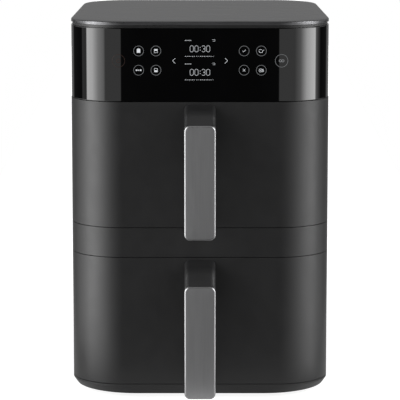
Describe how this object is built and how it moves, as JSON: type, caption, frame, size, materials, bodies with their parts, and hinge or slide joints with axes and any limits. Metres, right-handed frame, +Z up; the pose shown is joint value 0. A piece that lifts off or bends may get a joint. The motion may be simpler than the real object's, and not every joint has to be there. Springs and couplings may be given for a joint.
{
  "type": "air fryer",
  "caption": "Upright air fryer with stacked drawers, hook-shaped front handles, a wrap-round glossy touch panel and a dark metal lid; baskets, crisper plates, heaters and fans inside.",
  "frame": {"origin": "bottom centre of the whole object's box, on the surface that the feet stand on", "axes": "+Z up, +X to the right of someone facing the drawers, -Y out of the drawer fronts"},
  "size_m": [0.29, 0.352, 0.426],
  "materials": {
    "base_plastic": "satin fine-grained black plastic",
    "body_plastic": "matte anthracite, fine-grained",
    "panel_gloss": "glossy black",
    "lid_metal": "dark satin metal, fine-brushed",
    "handle_metal": "satin grey brushed",
    "handle_plastic": "satin black plastic",
    "rubber": "soft matt",
    "seal_silicone": "matt silicone",
    "nonstick": "dark non-stick coating",
    "sheet_steel": "bright sheet steel",
    "heater_steel": "heat-darkened tube",
    "screw_steel": "zinc plated",
    "inner_plastic": "moulded black plastic",
    "circuit": "green board laminate",
    "component": "moulded components",
    "insulation": "pressed fibre mat",
    "display": "dark display glass",
    "fan_aluminium": "pressed aluminium",
    "motor_steel": "laminated steel, lacquered",
    "bearing_bronze": "sintered bronze"
  },
  "bodies": {
    "body": {"back_cover": "body_plastic", "base_screws": "screw_steel", "base_tray": "base_plastic", "control_panel": "panel_gloss", "cord_gland": "rubber", "display_module": "display", "drawer_switches": "component", "front_frame": "inner_plastic", "insulation_mats": "insulation", "left_side_cover": "body_plastic", "lower_fan_motor": "motor_steel", "lower_heater": "heater_steel", "lower_heater_guard": "sheet_steel", "lower_liner": "sheet_steel", "lower_rails": "sheet_steel", "lower_shaft_bearings": "bearing_bronze", "middle_band": "body_plastic", "motor_brackets": "sheet_steel", "panel_carrier": "inner_plastic", "power_board": "circuit", "power_board_parts": "component", "rear_screws": "screw_steel", "rear_vent_cover": "body_plastic", "right_side_cover": "body_plastic", "rubber_feet": "rubber", "temperature_sensors": "screw_steel", "top_cover": "lid_metal", "top_frame": "base_plastic", "touch_board": "circuit", "touch_springs": "screw_steel", "upper_fan_motor": "motor_steel", "upper_heater": "heater_steel", "upper_heater_guard": "sheet_steel", "upper_liner": "sheet_steel", "upper_rails": "sheet_steel", "upper_shaft_bearings": "bearing_bronze"},
    "upper_drawer": {"upper_drawer_front": "body_plastic", "upper_inner_cover": "inner_plastic", "upper_door_seal": "seal_silicone", "upper_handle_arm": "handle_plastic", "upper_handle_plate": "handle_metal", "upper_handle_screws": "screw_steel", "upper_basket": "nonstick"},
    "upper_crisper": {"upper_crisper_plate": "nonstick", "upper_plate_bumpers": "seal_silicone"},
    "upper_fan": {"upper_fan_shaft": "screw_steel", "upper_convection_fan": "fan_aluminium", "upper_cooling_fan": "inner_plastic"},
    "lower_drawer": {"lower_drawer_front": "body_plastic", "lower_inner_cover": "inner_plastic", "lower_door_seal": "seal_silicone", "lower_handle_arm": "handle_plastic", "lower_handle_plate": "handle_metal", "lower_handle_screws": "screw_steel", "lower_basket": "nonstick"},
    "lower_crisper": {"lower_crisper_plate": "nonstick", "lower_plate_bumpers": "seal_silicone"},
    "lower_fan": {"lower_fan_shaft": "screw_steel", "lower_convection_fan": "fan_aluminium", "lower_cooling_fan": "inner_plastic"}
  },
  "joints": [
    {"name": "upper_drawer_slide", "type": "slide", "parent": "body", "child": "upper_drawer", "axis": [0, -1, 0], "range_m": [0, 0.205]},
    {"name": "upper_crisper_lift", "type": "slide", "parent": "upper_drawer", "child": "upper_crisper", "axis": [0, 0, 1], "range_m": [0, 0.08]},
    {"name": "upper_fan_spin", "type": "hinge", "parent": "body", "child": "upper_fan", "pos_m": [0, 0.108, 0.2623], "axis": [0, 1, 0], "continuous": true},
    {"name": "lower_drawer_slide", "type": "slide", "parent": "body", "child": "lower_drawer", "axis": [0, -1, 0], "range_m": [0, 0.205]},
    {"name": "lower_crisper_lift", "type": "slide", "parent": "lower_drawer", "child": "lower_crisper", "axis": [0, 0, 1], "range_m": [0, 0.08]},
    {"name": "lower_fan_spin", "type": "hinge", "parent": "body", "child": "lower_fan", "pos_m": [0, 0.108, 0.0835], "axis": [0, 1, 0], "continuous": true}
  ]
}
